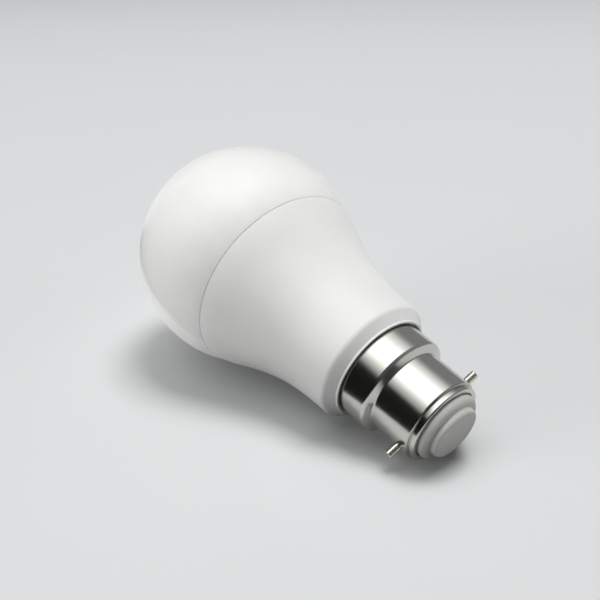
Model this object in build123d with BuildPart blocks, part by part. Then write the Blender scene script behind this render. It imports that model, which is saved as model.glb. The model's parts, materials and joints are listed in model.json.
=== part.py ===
from build123d import *
from math import asin, atan2, cos, hypot, radians, sin, tan
import os

# Overall form: a round dome at one end, the cap's button at the other.
dome_radius = 30.0
overall_length = 108.5

# Opal diffuser and the seam where it sits in the housing.
seam_angle = 28.5
seam_round = 0.2
socket_wall = 0.8
spigot_depth = 3.0
spigot_end_gap = 0.3

# White housing: convex shoulder under the seam, concave neck, bevelled bottom with a soft corner
# and a small bead round its mouth.
# Shares are of the side's length and of its drop in radius, slopes are of the mean slope.
shoulder_share = 0.186
shoulder_drop_share = 0.289
flare_share = 0.573
flare_drop_share = 0.822
seam_slope = 1.11
neck_slope = 0.2
bevel_height = 2.3
bevel_width = 2.5
bevel_round = 1.6
bead_height = 0.5
bead_width = 0.6
bead_round = 0.15

# Cap shell, drawn from thin sheet and curled in at its end.
sheet = 0.3
barrel_radius = 11.0
barrel_length = 11.3
skirt_ledge = 2.2
skirt_length = 7.35
skirt_round = 1.0
step_length = 1.2
step_round = 0.4
rim_round = 0.4
rim_ledge = 0.6
curl_height = 1.5
curl_width = 1.3
curl_round = 0.4
curl_root_round = 0.12
lip_round = 0.35

# Seat of the shell on the housing.
seat_depth = 1.0
skirt_gap = 0.4
neck_setback = 0.7

# Grey plug held in the end of the shell, with a raised button on its face.
plug_root_gap = 0.2
plug_round = 0.4
boss_height = 1.9
boss_round = 1.3
button_height = 1.7
button_ledge = 2.1
button_root_round = 0.4
button_round = 0.8

# Bayonet pins.
pin_radius = 1.05
pin_height = 3.3
pin_setback = 2.6
pin_roll = 28.5
pin_chamfer = 0.1
tail_radius = 0.7
tail_depth = 1.3

# Clearances of the fits.
slip_clearance = 0.1
pin_clearance = 0.02

# Stations run along the bulb's axis from the dome's centre towards the cap.
end_face = overall_length - dome_radius
boss_face = end_face - button_height
curl_end = boss_face - boss_height
barrel_end = curl_end - curl_height
curl_back = barrel_end - sheet
pin_station = barrel_end - pin_setback
step_end = barrel_end - barrel_length
skirt_end = step_end - step_length
neck_end = skirt_end - neck_setback
plug_root = neck_end + plug_root_gap
housing_end = skirt_end - skirt_length
bead_foot = housing_end - bead_height
side_end = bead_foot - bevel_height
seat_face = housing_end - seat_depth
seam_station = dome_radius * sin(radians(seam_angle))
spigot_end = seam_station + spigot_depth
socket_end = spigot_end + spigot_end_gap

seam_radius = dome_radius * cos(radians(seam_angle))
skirt_radius = barrel_radius + skirt_ledge
skirt_bore = skirt_radius - sheet
neck_fit = skirt_bore - slip_clearance
mouth_radius = skirt_radius + skirt_gap
bead_radius = mouth_radius + bead_width
neck_radius = bead_radius + bevel_width
bore_radius = barrel_radius - sheet
plug_radius = bore_radius - slip_clearance
curl_radius = barrel_radius - rim_ledge
lip_radius = curl_radius - curl_width
boss_radius = lip_radius - slip_clearance
button_radius = boss_radius - button_ledge
pin_seat = barrel_radius + pin_clearance
pin_tip = barrel_radius + pin_height
pin_root = bore_radius - tail_depth
tail_hole = tail_radius + pin_clearance

side_length = side_end - seam_station
side_drop = seam_radius - neck_radius
mean_slope = side_drop / side_length
shoulder_slope = mean_slope * shoulder_drop_share / shoulder_share
socket_radius = seam_radius - shoulder_slope * (socket_end - seam_station) - socket_wall
spigot_radius = socket_radius - slip_clearance
step_turn = atan2(skirt_ledge, step_length)
step_shift = sheet * tan(step_turn / 2)

# The bulb lies on its dome and on the rounded rim of its barrel.
rim_station = barrel_end - rim_round
rim_centre = barrel_radius - rim_round
tilt = asin((dome_radius - rim_round) / hypot(rim_station, rim_centre)) - atan2(rim_centre, rim_station)
button_station = end_face - button_round
button_centre = button_radius - button_round
cap_reach = button_station * cos(tilt) + button_centre * sin(tilt) + button_round
bulb_plane = Plane(
    origin=((dome_radius - cap_reach) / 2, 0, dome_radius),
    x_dir=(cos(tilt), 0, -sin(tilt)),
    z_dir=(0, -1, 0),
)
bulb_axis = Axis(bulb_plane.origin, bulb_plane.x_dir)


def rim(builder, station, radius):
    """The round edge of a turned piece at a station and a radius."""
    point = bulb_plane.from_local_coords((station, -radius, 0))
    return builder.edges().sort_by_distance(point)[0]


def pin_frame(turn):
    """Plane across the bulb's axis at the pins, facing out along one pin."""
    roll = radians(pin_roll + turn)
    outward = bulb_plane.z_dir * cos(roll) - bulb_plane.y_dir * sin(roll)
    centre = bulb_plane.from_local_coords((pin_station, 0, 0))
    return Plane(origin=centre, x_dir=bulb_plane.x_dir, z_dir=outward)


pin_frames = {"bayonet_pin_1": pin_frame(0), "bayonet_pin_2": pin_frame(180)}
os.makedirs("parts", exist_ok=True)

with BuildPart() as diffuser:
    with BuildSketch(bulb_plane):
        with BuildLine():
            ThreePointArc((-dome_radius, 0), (0, dome_radius), (seam_station, seam_radius))
            Polyline(
                (seam_station, seam_radius),
                (seam_station, spigot_radius),
                (spigot_end, spigot_radius),
                (spigot_end, 0),
                (-dome_radius, 0),
            )
        make_face()
    revolve(axis=bulb_axis)
    fillet(rim(diffuser, seam_station, seam_radius), radius=seam_round)
diffuser.part.label = "diffuser"
export_step(diffuser.part, "parts/diffuser.step")

with BuildPart() as housing:
    with BuildSketch(bulb_plane):
        with BuildLine():
            Spline(
                (seam_station, seam_radius),
                (seam_station + shoulder_share * side_length, seam_radius - shoulder_drop_share * side_drop),
                (seam_station + flare_share * side_length, seam_radius - flare_drop_share * side_drop),
                (side_end, neck_radius),
                tangents=((1, -seam_slope * mean_slope), (1, -neck_slope * mean_slope)),
            )
            Polyline(
                (side_end, neck_radius),
                (bead_foot, bead_radius),
                (housing_end, bead_radius),
                (housing_end, mouth_radius),
                (seat_face, mouth_radius),
                (seat_face, neck_fit),
                (neck_end, neck_fit),
                (neck_end, 0),
                (socket_end, 0),
                (socket_end, socket_radius),
                (seam_station, socket_radius),
                (seam_station, seam_radius),
            )
        make_face()
    revolve(axis=bulb_axis)
    fillet(rim(housing, side_end, neck_radius), radius=bevel_round)
    for radius in (bead_radius, mouth_radius):
        fillet(rim(housing, housing_end, radius), radius=bead_round)
    fillet(rim(housing, seam_station, seam_radius), radius=seam_round)
housing.part.label = "housing"
export_step(housing.part, "parts/housing.step")

with BuildPart() as cap_shell:
    with BuildSketch(bulb_plane):
        with BuildLine():
            Polyline(
                (seat_face, skirt_radius),
                (skirt_end, skirt_radius),
                (step_end, barrel_radius),
                (barrel_end, barrel_radius),
                (barrel_end, curl_radius),
                (curl_end, curl_radius),
                (curl_end, lip_radius),
                (curl_back, lip_radius),
                (curl_back, bore_radius),
                (step_end - step_shift, bore_radius),
                (skirt_end - step_shift, skirt_bore),
                (seat_face, skirt_bore),
                close=True,
            )
        make_face()
    revolve(axis=bulb_axis)
    fillet(rim(cap_shell, skirt_end, skirt_radius), radius=skirt_round)
    fillet(rim(cap_shell, skirt_end - step_shift, skirt_bore), radius=skirt_round - sheet)
    fillet(rim(cap_shell, step_end, barrel_radius), radius=step_round)
    fillet(rim(cap_shell, step_end - step_shift, bore_radius), radius=step_round + sheet)
    fillet(rim(cap_shell, barrel_end, barrel_radius), radius=rim_round)
    fillet(rim(cap_shell, curl_back, bore_radius), radius=rim_round - sheet)
    fillet(rim(cap_shell, barrel_end, curl_radius), radius=curl_root_round)
    fillet(rim(cap_shell, curl_end, curl_radius), radius=curl_round)
    fillet(rim(cap_shell, curl_end, lip_radius), radius=lip_round)
    for frame in pin_frames.values():
        with BuildSketch(frame):
            Circle(tail_hole)
        extrude(amount=skirt_radius, mode=Mode.SUBTRACT)
cap_shell.part.label = "cap_shell"
export_step(cap_shell.part, "parts/cap_shell.step")

with BuildPart() as insulator:
    with BuildSketch(bulb_plane):
        with BuildLine():
            Polyline(
                (plug_root, 0),
                (plug_root, plug_radius),
                (curl_back, plug_radius),
                (curl_back, boss_radius),
                (boss_face, boss_radius),
                (boss_face, button_radius),
                (end_face, button_radius),
                (end_face, 0),
                close=True,
            )
        make_face()
    revolve(axis=bulb_axis)
    fillet(rim(insulator, curl_back, plug_radius), radius=plug_round)
    fillet(rim(insulator, boss_face, boss_radius), radius=boss_round)
    fillet(rim(insulator, boss_face, button_radius), radius=button_root_round)
    fillet(rim(insulator, end_face, button_radius), radius=button_round)
    for frame in pin_frames.values():
        with BuildSketch(frame.offset(pin_root)):
            Circle(tail_hole)
        extrude(amount=plug_radius, mode=Mode.SUBTRACT)
insulator.part.label = "insulator"
export_step(insulator.part, "parts/insulator.step")

for name, frame in pin_frames.items():
    with BuildPart() as pin:
        with BuildSketch(frame.offset(pin_root)):
            Circle(tail_radius)
        extrude(amount=pin_seat - pin_root)
        with BuildSketch(frame.offset(pin_seat)):
            Circle(pin_radius)
        extrude(amount=pin_tip - pin_seat)
        tip = pin.faces().sort_by_distance(frame.from_local_coords((0, 0, overall_length)))[0]
        chamfer(tip.edges(), length=pin_chamfer)
    pin.part.label = name
    export_step(pin.part, f"parts/{name}.step")
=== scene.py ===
# %% [markdown]
# # A round bulb with a bayonet cap, lying on a pale table
# The bulb has six parts: an opal dome, a white housing, a plated cap shell, a grey plug and two pins.
# Their shapes come from CAD as finished solids, in metres, lying as they would on a table.
# They could be modelled again here, but turned parts like these gain nothing from it: the solids are
# already smooth. So this lesson dresses them, with finishes, a floor, soft light and a camera.

# %% Load the bulb
import json
from math import asin, cos, degrees, radians, sin

import bpy
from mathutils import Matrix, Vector


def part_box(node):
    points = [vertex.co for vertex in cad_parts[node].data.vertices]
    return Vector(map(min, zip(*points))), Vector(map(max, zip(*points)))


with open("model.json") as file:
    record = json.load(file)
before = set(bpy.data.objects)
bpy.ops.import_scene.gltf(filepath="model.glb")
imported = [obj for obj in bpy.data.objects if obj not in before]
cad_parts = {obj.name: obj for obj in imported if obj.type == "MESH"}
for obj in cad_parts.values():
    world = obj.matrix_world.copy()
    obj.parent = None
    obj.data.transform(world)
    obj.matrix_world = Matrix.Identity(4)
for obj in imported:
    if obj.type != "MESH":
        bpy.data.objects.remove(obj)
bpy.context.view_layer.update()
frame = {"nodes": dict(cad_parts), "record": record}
scene = bpy.context.scene
parts = frame["nodes"]
for name, part in sorted(parts.items()):
    print(name, "has", len(part.data.polygons), "faces")

# %% [markdown]
# ## The axis that everything is turned round
# Draw lines, mould marks and tarnish on a turned part follow its axis, which here leans towards the
# cap. A texture laid in the table's axes would cut across the bulb like wallpaper, so we measure the
# lean first. The record names the flat end of the plug and the way it faces, which is the axis itself.

# %% Measure the axis
MILLIMETRE = 0.001
low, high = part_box("diffuser")
dome_radius = (high[2] - low[2]) / 2
dome_centre = Vector((low[0] + dome_radius, 0, dome_radius))
mounts = {mount["name"]: mount for mount in frame["record"]["mounts"]}
axis = Vector(mounts["end_face"]["axis"])
lean = asin(-axis.z)
print("dome radius", round(dome_radius / MILLIMETRE, 2), "mm")
print("axis leans", round(degrees(lean), 2), "degrees")

# %% [markdown]
# ## A place for every mark
# Each finish starts from one Principled shader and a Mapping node that turns the table's metres into
# the bulb's own millimetres: the first number runs along the axis from the dome's centre, the other
# two run across it. With millimetres, a noise scale of 2 simply means marks about half a millimetre
# wide. A Mapping node of the Texture type divides and turns back, so it takes the place of the bulb
# as it lies, and nothing has to be inverted by hand.

# %% Start a finish
def start_finish(name):
    material = bpy.data.materials.new(name)
    material.use_nodes = True
    tree = material.node_tree
    return material, tree, tree.nodes["Principled BSDF"]


def bulb_millimetres(tree):
    place = tree.nodes.new("ShaderNodeTexCoord")
    turn = tree.nodes.new("ShaderNodeMapping")
    turn.vector_type = "TEXTURE"
    turn.inputs["Location"].default_value = dome_centre
    turn.inputs["Rotation"].default_value = (0, lean, 0)
    turn.inputs["Scale"].default_value = (MILLIMETRE,) * 3
    tree.links.new(place.outputs["Object"], turn.inputs["Vector"])
    return turn.outputs["Vector"]


def dress(material, *names):
    for name in names:
        for slot in parts[name].material_slots:
            slot.material = material
    print(material.name, "is on", ", ".join(names))


print("marks are placed from", [round(v / MILLIMETRE, 2) for v in dome_centre], "mm")

# %% [markdown]
# ## Noise, and two ways to map it
# No real surface has one flat value. A Noise node gives numbers near a half that drift from place to
# place. A colour ramp turns them into tints, and a Map Range into any other number. Painted images
# could do the same, but they need unwrapping and blur when seen close up. Noise does neither.

# %% Make noise and map it
NOISE_SPAN = (0.3, 0.7)


def noise(tree, where, scale, detail=3.0):
    cloud = tree.nodes.new("ShaderNodeTexNoise")
    cloud.inputs["Scale"].default_value = scale
    cloud.inputs["Detail"].default_value = detail
    tree.links.new(where, cloud.inputs["Vector"])
    return cloud.outputs["Fac"]


def ramp(tree, factor, *stops):
    band = tree.nodes.new("ShaderNodeValToRGB")
    elements = band.color_ramp.elements
    for index, (place, colour) in enumerate(stops):
        stop = elements[index] if index < 2 else elements.new(place)
        stop.position = place
        stop.color = (*colour, 1)
    tree.links.new(factor, band.inputs["Fac"])
    return band.outputs["Color"]


def remap(tree, value, source, target):
    reach = tree.nodes.new("ShaderNodeMapRange")
    reach.inputs["From Min"].default_value, reach.inputs["From Max"].default_value = source
    reach.inputs["To Min"].default_value, reach.inputs["To Max"].default_value = target
    tree.links.new(value, reach.inputs["Value"])
    return reach.outputs["Result"]


print("noise is taken to run from", NOISE_SPAN[0], "to", NOISE_SPAN[1])

# %% [markdown]
# ## Tint, roughness and relief
# Three things carry a finish: its colour, how far it scatters a reflection, and the relief that breaks
# it. Most take a noise of their own, because marks that line up in all three look stamped. The relief
# here is a hundredth of a millimetre deep at most. Geometry that fine would need millions of faces, so
# it is bump, which changes how light falls and leaves the CAD shape alone.

# %% Send it to the shader
def tint(tree, shader, factor, first, second, span=NOISE_SPAN):
    colour = ramp(tree, factor, (span[0], first), (span[1], second))
    tree.links.new(colour, shader.inputs["Base Color"])


def roughen(tree, shader, factor, smoothest, roughest):
    amount = remap(tree, factor, NOISE_SPAN, (smoothest, roughest))
    tree.links.new(amount, shader.inputs["Roughness"])


def relief(tree, shader, height, depth):
    bump = tree.nodes.new("ShaderNodeBump")
    bump.inputs["Distance"].default_value = depth * MILLIMETRE
    tree.links.new(height, bump.inputs["Height"])
    tree.links.new(bump.outputs["Normal"], shader.inputs["Normal"])


print("a relief of depth 1 is", MILLIMETRE, "m deep")

# %% [markdown]
# ## Opal dome
# The dome is moulded from a milky polycarbonate that spreads the light of the board inside. Unlit, it
# looks soft and a little deep, because light enters it and comes back out nearby. A flat white would
# look like paint, so a little subsurface scattering carries light a few millimetres through the wall.
# The outside is a fine satin: a roughness that drifts and a very shallow grain. Polycarbonate bends
# light more than the shader's usual 1.5, so its sheen is a little stronger.

# %% Make the opal dome
MILK_DARK, MILK_LIGHT = (0.84, 0.845, 0.825), (0.88, 0.885, 0.868)
opal, tree, shader = start_finish("opal_dome_satin")
where = bulb_millimetres(tree)
tint(tree, shader, noise(tree, where, scale=0.09, detail=2), MILK_DARK, MILK_LIGHT)
roughen(tree, shader, noise(tree, where, scale=0.25), smoothest=0.3, roughest=0.35)
shader.inputs["IOR"].default_value = 1.58
shader.inputs["Subsurface Weight"].default_value = 0.4
shader.inputs["Subsurface Radius"].default_value = (1.0, 0.95, 0.85)
shader.inputs["Subsurface Scale"].default_value = 3 * MILLIMETRE
relief(tree, shader, noise(tree, where, scale=3.0), depth=0.004)
dress(opal, "diffuser")

# %% [markdown]
# ## White housing
# The housing is a harder, opaque white with a slight sheen, moulded over a metal cooling cup. What the
# eye reads on it is the sheen: a soft highlight that runs down the waist. One roughness all over would
# draw it too evenly. The mould's spark texture breaks it a little, so a fine grain goes into the relief
# and a slow drift into the roughness. A faint drift of the white in broad patches keeps it from looking
# computed.

# %% Make the white housing
WHITE_DARK, WHITE_LIGHT = (0.78, 0.785, 0.77), (0.82, 0.822, 0.81)
white, tree, shader = start_finish("white_housing_satin")
where = bulb_millimetres(tree)
tint(tree, shader, noise(tree, where, scale=0.06, detail=2), WHITE_DARK, WHITE_LIGHT)
roughen(tree, shader, noise(tree, where, scale=0.4), smoothest=0.36, roughest=0.44)
relief(tree, shader, noise(tree, where, scale=4.0, detail=4), depth=0.005)
dress(white, "housing")

# %% [markdown]
# ## Plated cap shell: painted shade in the recesses
# The cap is drawn from thin brass sheet and nickel plated. At the housing's mouth and in the groove
# behind the rolled end the plating sits in narrow recesses that fall dark, and a ramp along the axis
# paints that shade there as a darker, warmer tint. Painting it by hand would also work, but the axis
# is already measured, so three stations, in millimetres from the dome's centre, say where it goes.
# How far each band of painted shade spreads is a share of the way from the first station to the last.

# %% Paint shade into the corners
SKIRT_MOUTH, BARREL_RIM, CURL_END = 53.55, 73.4, 74.9
# The darker, warmer tint is painted shade for the recesses at the housing's mouth and the rim groove.
MOUTH_SHADE_SPREAD, RIM_BEFORE, RIM_SHADE_PEAK, RIM_AFTER = 0.04, 0.02, 0.01, 0.04
NICKEL_TONE, PAINTED_SHADE = (0.63, 0.622, 0.58), (0.4, 0.385, 0.345)


def along(tree, where, letter):
    split = tree.nodes.new("ShaderNodeSeparateXYZ")
    tree.links.new(where, split.inputs["Vector"])
    return split.outputs[letter]


nickel, tree, shader = start_finish("nickel_drawn")
where = bulb_millimetres(tree)
share = remap(tree, along(tree, where, "X"), (SKIRT_MOUTH, CURL_END), (0, 1))
rim = (BARREL_RIM - SKIRT_MOUTH) / (CURL_END - SKIRT_MOUTH)
# Painted shade: dark at the housing's mouth, then round the groove behind the rolled end.
mouth_shade_stops = (0, PAINTED_SHADE), (MOUTH_SHADE_SPREAD, NICKEL_TONE)
rim_shade_stops = (rim - RIM_BEFORE, NICKEL_TONE), (rim + RIM_SHADE_PEAK, PAINTED_SHADE), (rim + RIM_AFTER, NICKEL_TONE)
tree.links.new(ramp(tree, share, *mouth_shade_stops, *rim_shade_stops), shader.inputs["Base Color"])
shader.inputs["Metallic"].default_value = 1.0
print("rim groove lies", round(rim, 2), "of the way along the cap")

# %% [markdown]
# ## Plated cap shell: draw lines
# Drawing and polishing on a spindle leave fine lines round the barrel, which stretch every reflection
# into clean bands. Noise that changes fast along the axis and hardly at all across it makes such lines:
# they go into the roughness and, very shallow, into the relief. The Anisotropic setting could stretch
# the reflections too, but it shows no lines close up.

# %% Draw the lines
LINE_STRETCH = (12.0, 0.03, 0.03)
stretch = tree.nodes.new("ShaderNodeMapping")
stretch.inputs["Scale"].default_value = LINE_STRETCH
tree.links.new(where, stretch.inputs["Vector"])
draw_lines = noise(tree, stretch.outputs["Vector"], scale=1.0, detail=2)
roughen(tree, shader, draw_lines, smoothest=0.17, roughest=0.22)
relief(tree, shader, draw_lines, depth=0.0004)
dress(nickel, "cap_shell")

# %% [markdown]
# ## Bayonet pins
# The pins are turned from brass rod, plated more thinly than the shell and rubbed by every holder they
# lock into, so a warm tint of brass shows through. Two metal shaders and a mask could show both, but
# the metals differ in little more than colour, so one shader with two colours does it. The wear is
# patchy: the noise that mixes them is at the scale of half a pin. The roughness is higher than on the
# polished barrel.

# %% Make the worn pins
PLATED, RUBBED, RUB_SPAN = (0.66, 0.65, 0.61), (0.66, 0.63, 0.53), (0.35, 0.68)
worn, tree, shader = start_finish("nickel_over_brass")
where = bulb_millimetres(tree)
shader.inputs["Metallic"].default_value = 1.0
tint(tree, shader, noise(tree, where, scale=0.9), PLATED, RUBBED, RUB_SPAN)
roughen(tree, shader, noise(tree, where, scale=4.0), smoothest=0.22, roughest=0.3)
dress(worn, "bayonet_pin_1", "bayonet_pin_2")

# %% [markdown]
# ## Grey plug
# The plug that closes the cap is a filled, heat-proof plastic. It comes out of the mould matte, with a
# fine grain and pale flecks of filler that show only close up. One flat grey would do from afar, but
# the plug lies at the near end of the bulb. One noise is the grain in the relief, a coarser one moves
# the grey slightly, and a third lets the roughness drift.

# %% Make the grey plug
PLUG_DARK, PLUG_LIGHT, FLECK_SPAN = (0.46, 0.462, 0.442), (0.52, 0.52, 0.5), (0.3, 0.72)
grey_plug, tree, shader = start_finish("grey_plug_matte")
where = bulb_millimetres(tree)
tint(tree, shader, noise(tree, where, scale=2.2, detail=5), PLUG_DARK, PLUG_LIGHT, FLECK_SPAN)
roughen(tree, shader, noise(tree, where, scale=1.1), smoothest=0.5, roughest=0.62)
relief(tree, shader, noise(tree, where, scale=5.0, detail=4), depth=0.01)
dress(grey_plug, "insulator")

# %% [markdown]
# ## A pale floor
# The bulb lies on a plain pale surface that reaches past the top of the picture, so no horizon shows.
# A mesh with four corners is enough. A backdrop curved up behind would also do, but it would bend the
# shadow.

# %% Lay the floor
FLOOR_REACH = 2.2
floor_mesh = bpy.data.meshes.new("pale_floor")
corners = [(x, y, 0) for x, y in ((-1, -1), (1, -1), (1, 1), (-1, 1))]
floor_mesh.from_pydata([Vector(corner) * FLOOR_REACH for corner in corners], [], [(0, 1, 2, 3)])
floor = bpy.data.objects.new("pale_floor", floor_mesh)
scene.collection.objects.link(floor)
print("floor reaches", FLOOR_REACH, "m each way")

# %% [markdown]
# ## Cards on the floor
# Photographers lay white and black cards round an object to lift or deepen what its underside shows.
# Real cards would be in the picture, so the floor plays their part, with a second colour: white under
# the dome, black under the cap, and white again past its end. The floor's own pale tone drifts very
# faintly, which keeps it from looking cut out of paper.

# %% Colour the floor twice
FLOOR_DARK, FLOOR_LIGHT = (0.66, 0.674, 0.68), (0.675, 0.688, 0.695)
CARDS = ((-0.04, 0.85), (0.03, 0.04), (0.054, 0.04), (0.08, 0.75))


def grey(level):
    return (level,) * 3


pale, tree, shader = start_finish("pale_floor")
ground = tree.nodes.new("ShaderNodeTexCoord").outputs["Object"]
drift = noise(tree, ground, scale=2.0)
tone = ramp(tree, drift, (NOISE_SPAN[0], FLOOR_DARK), (NOISE_SPAN[1], FLOOR_LIGHT))
start, end = CARDS[0][0], CARDS[-1][0]
beside = remap(tree, along(tree, ground, "X"), (start, end), (0, 1))
card_stops = [((place - start) / (end - start), grey(level)) for place, level in CARDS]
cards = ramp(tree, beside, *card_stops)
print("cards run from", start, "m to", end, "m")

# %% [markdown]
# ## One floor, two answers
# A Light Path node tells the shader which kind of ray is asking. The camera and reflections get the
# pale tone, so the floor and the metal agree. Light that bounces up from the floor gets the cards. Two
# floors, each hidden from some rays, could do the same, but they would have to lie in one place.

# %% Let the ray choose
def choose(tree, asked, otherwise, answer):
    switch = tree.nodes.new("ShaderNodeMix")
    switch.data_type = "RGBA"
    tree.links.new(asked, switch.inputs["Factor"])
    tree.links.new(otherwise, switch.inputs["A"])
    tree.links.new(answer, switch.inputs["B"])
    return switch.outputs["Result"]


path = tree.nodes.new("ShaderNodeLightPath")
bounced = choose(tree, path.outputs["Is Glossy Ray"], cards, tone)
shown = choose(tree, path.outputs["Is Camera Ray"], bounced, tone)
tree.links.new(shown, shader.inputs["Base Color"])
shader.inputs["Roughness"].default_value = 0.6
shader.inputs["Specular IOR Level"].default_value = 0.2
floor_mesh.materials.append(pale)
print(pale.name, "has", len(tree.nodes), "nodes")

# %% [markdown]
# ## The softbox
# Plated metal has no look of its own: it shows the room. A long softbox overhead puts the broad white
# band along the cap and a soft highlight on the dome. Many small lamps would show as dots in the
# metal, so one area lamp does it.

# %% Hang the softbox
LAMP_HEIGHT = 3.0


def hang_lamp(name, place, width, depth, watts, aim=None):
    lamp = bpy.data.lights.new(name, "AREA")
    lamp.shape = "RECTANGLE"
    lamp.size = width
    lamp.size_y = depth
    lamp.energy = watts
    holder = bpy.data.objects.new(name, lamp)
    holder.location = place
    if aim is not None:
        holder.rotation_euler = (aim - holder.location).to_track_quat("-Z", "Y").to_euler()
    scene.collection.objects.link(holder)
    print(name, "is", width, "m by", depth, "m and gives", watts, "W")
    return holder


softbox = hang_lamp("softbox", (-0.45, -1.1, LAMP_HEIGHT), width=2.1, depth=7.0, watts=94)

# %% [markdown]
# ## Soft ends for the softbox
# An even panel would end in hard edges on the metal. A real softbox fades: it is brightest in its
# middle and dim at both ends. Parametric coordinates run from 0 to 1 across the panel, so a ramp along
# its depth can shape the strength. Several lamps of falling strength would show their joints.

# %% Fade the softbox
SOFTBOX_FADE = ((0.0, 0.1), (0.28, 0.4), (0.48, 1.0), (0.66, 1.0), (0.79, 0.5), (1.0, 0.05))
softbox.data.use_nodes = True
tree = softbox.data.node_tree
panel = tree.nodes.new("ShaderNodeNewGeometry").outputs["Parametric"]
fade_stops = [(place, grey(level)) for place, level in SOFTBOX_FADE]
glow = ramp(tree, along(tree, panel, "Y"), *fade_stops)
tree.links.new(glow, tree.nodes["Emission"].inputs["Strength"])
print("softbox fades in", len(fade_stops), "stops")

# %% [markdown]
# ## Lamps that metal doesn't see
# The softbox alone leaves the shadow without a core and the front of the bulb too dark. A stronger one
# would only burn out the dome. So a smaller lamp above gives the core, and two dim fills, low at the
# front and past the cap, open the shaded sides. Each would put a spot on the barrel, so they are hidden
# from reflections.

# %% Hang the other lamps
others = (
    hang_lamp("top_lamp", (0.2, 0.6, LAMP_HEIGHT), width=1.2, depth=1.2, watts=60),
    hang_lamp("front_fill", (-0.8, -2.4, 0.5), width=1.6, depth=1.0, watts=29, aim=dome_centre),
    hang_lamp("cap_fill", (2.0, 1.5, 0.3), width=1.6, depth=1.0, watts=18, aim=dome_centre),
)
for holder in others:
    holder.visible_glossy = False

# %% [markdown]
# ## A black flag for the metal
# A barrel that shows only bright things looks like paper. Photographers stand a sheet of black felt
# beside it, and its reflection gives the dark band that makes the metal look round. A flat sheet would
# stop short to either side, so this one is bent round the front of the cap and leans outwards. It is
# set to be seen in reflections only, so it shades nothing.

# %% Stand the black flag
FLAG_FOOT, FLAG_TOP, FLAG_HEIGHT = 0.04, 0.32, 0.2
FLAG_FROM, FLAG_TO, FLAG_FOLDS = -75, 100, 14
FLOOR_GAP = 0.001
cap_middle = Vector(mounts["bayonet_cap"]["pos_m"])
foot, top = [], []
for fold in range(FLAG_FOLDS + 1):
    turn = radians(FLAG_FROM + (FLAG_TO - FLAG_FROM) * fold / FLAG_FOLDS)
    outward = Vector((sin(turn), -cos(turn), 0))
    foot.append(Vector((cap_middle.x, 0, FLOOR_GAP)) + outward * FLAG_FOOT)
    top.append(Vector((cap_middle.x, 0, FLAG_HEIGHT)) + outward * FLAG_TOP)
strips = [(i, i + 1, i + 2 + FLAG_FOLDS, i + 1 + FLAG_FOLDS) for i in range(FLAG_FOLDS)]
flag_mesh = bpy.data.meshes.new("black_flag")
flag_mesh.from_pydata(foot + top, [], strips)
flag = bpy.data.objects.new("black_flag", flag_mesh)
flag.visible_camera = flag.visible_diffuse = flag.visible_shadow = False
scene.collection.objects.link(flag)
print("flag has", len(strips), "strips and stands", FLAG_HEIGHT, "m high")

# %% [markdown]
# ## Felt that fades to grey
# Past the end of the cap the flag must not be black, or the step and the rolled end, which face that
# way, would turn black with it. A second, grey flag would leave an edge in the metal, so the felt fades
# to grey there. Felt has no shine at all, which the specular level of zero says.

# %% Cover the flag
FADE_FROM, FADE_TO = 0.07, 0.13
FELT_BLACK, FELT_GREY = grey(0.01), grey(0.13)
felt, tree, shader = start_finish("black_felt")
beside = along(tree, tree.nodes.new("ShaderNodeTexCoord").outputs["Object"], "X")
tint(tree, shader, beside, FELT_BLACK, FELT_GREY, (FADE_FROM, FADE_TO))
shader.inputs["Roughness"].default_value = 1.0
shader.inputs["Specular IOR Level"].default_value = 0.0
flag_mesh.materials.append(felt)
print("felt fades to grey between", FADE_FROM, "m and", FADE_TO, "m")

# %% [markdown]
# ## A dim sky that is darker at the front
# The room behind a photographer is usually unlit. Metal would show a sky of one grey all round, so the
# sky fades from grey at the back to near black at the front. Generated coordinates give each direction
# as a vector, and its second number runs from front to back. The camera and reflections see the fade.
# As a light the sky is almost black, so that the shadow stays deep.

# %% Fill the sky
BACK_GREY, FRONT_GREY, SKY_LIGHT = (0.26, 0.265, 0.27), grey(0.03), grey(0.03)
FRONT_END, BACK_END = 0.15, 0.6
sky = bpy.data.worlds.new("dim_sky")
sky.use_nodes = True
tree = sky.node_tree
depth = along(tree, tree.nodes.new("ShaderNodeTexCoord").outputs["Generated"], "Y")
share = remap(tree, depth, (-1, 1), (0, 1))
fade = ramp(tree, share, (FRONT_END, FRONT_GREY), (BACK_END, BACK_GREY))
dim = tree.nodes.new("ShaderNodeRGB").outputs["Color"]
dim.default_value = (*SKY_LIGHT, 1)
path = tree.nodes.new("ShaderNodeLightPath")
mirrored = choose(tree, path.outputs["Is Glossy Ray"], dim, fade)
shown = choose(tree, path.outputs["Is Camera Ray"], mirrored, fade)
tree.links.new(shown, tree.nodes["Background"].inputs["Color"])
scene.world = sky
print("sky fades from", BACK_GREY, "at the back to", FRONT_GREY, "at the front")

# %% [markdown]
# ## Camera
# The picture looks down on the bulb from the cap's side, close enough that the cap looks large. A lens
# of 48 mm on a 36 mm sensor gives that perspective from about 22 cm. A constraint could aim the camera
# at the bulb, but two angles and a place hold the view exactly, and zero roll keeps the table level.
# Standard view keeps colours as they are written.

# %% Place the camera
AZIMUTH, ELEVATION = 48.829, 25.538
CAMERA_OFFSET = Vector((0.165676, -0.125895, 0.08518))
lens = bpy.data.cameras.new("camera")
lens.sensor_width = 36
lens.lens = 48
camera = bpy.data.objects.new("camera", lens)
camera.location = dome_centre + CAMERA_OFFSET
camera.rotation_euler = (radians(90 - ELEVATION), 0, radians(AZIMUTH))
scene.collection.objects.link(camera)
scene.camera = camera
scene.view_settings.view_transform = "Standard"
print("camera is", round(CAMERA_OFFSET.length, 3), "m from the dome's centre")
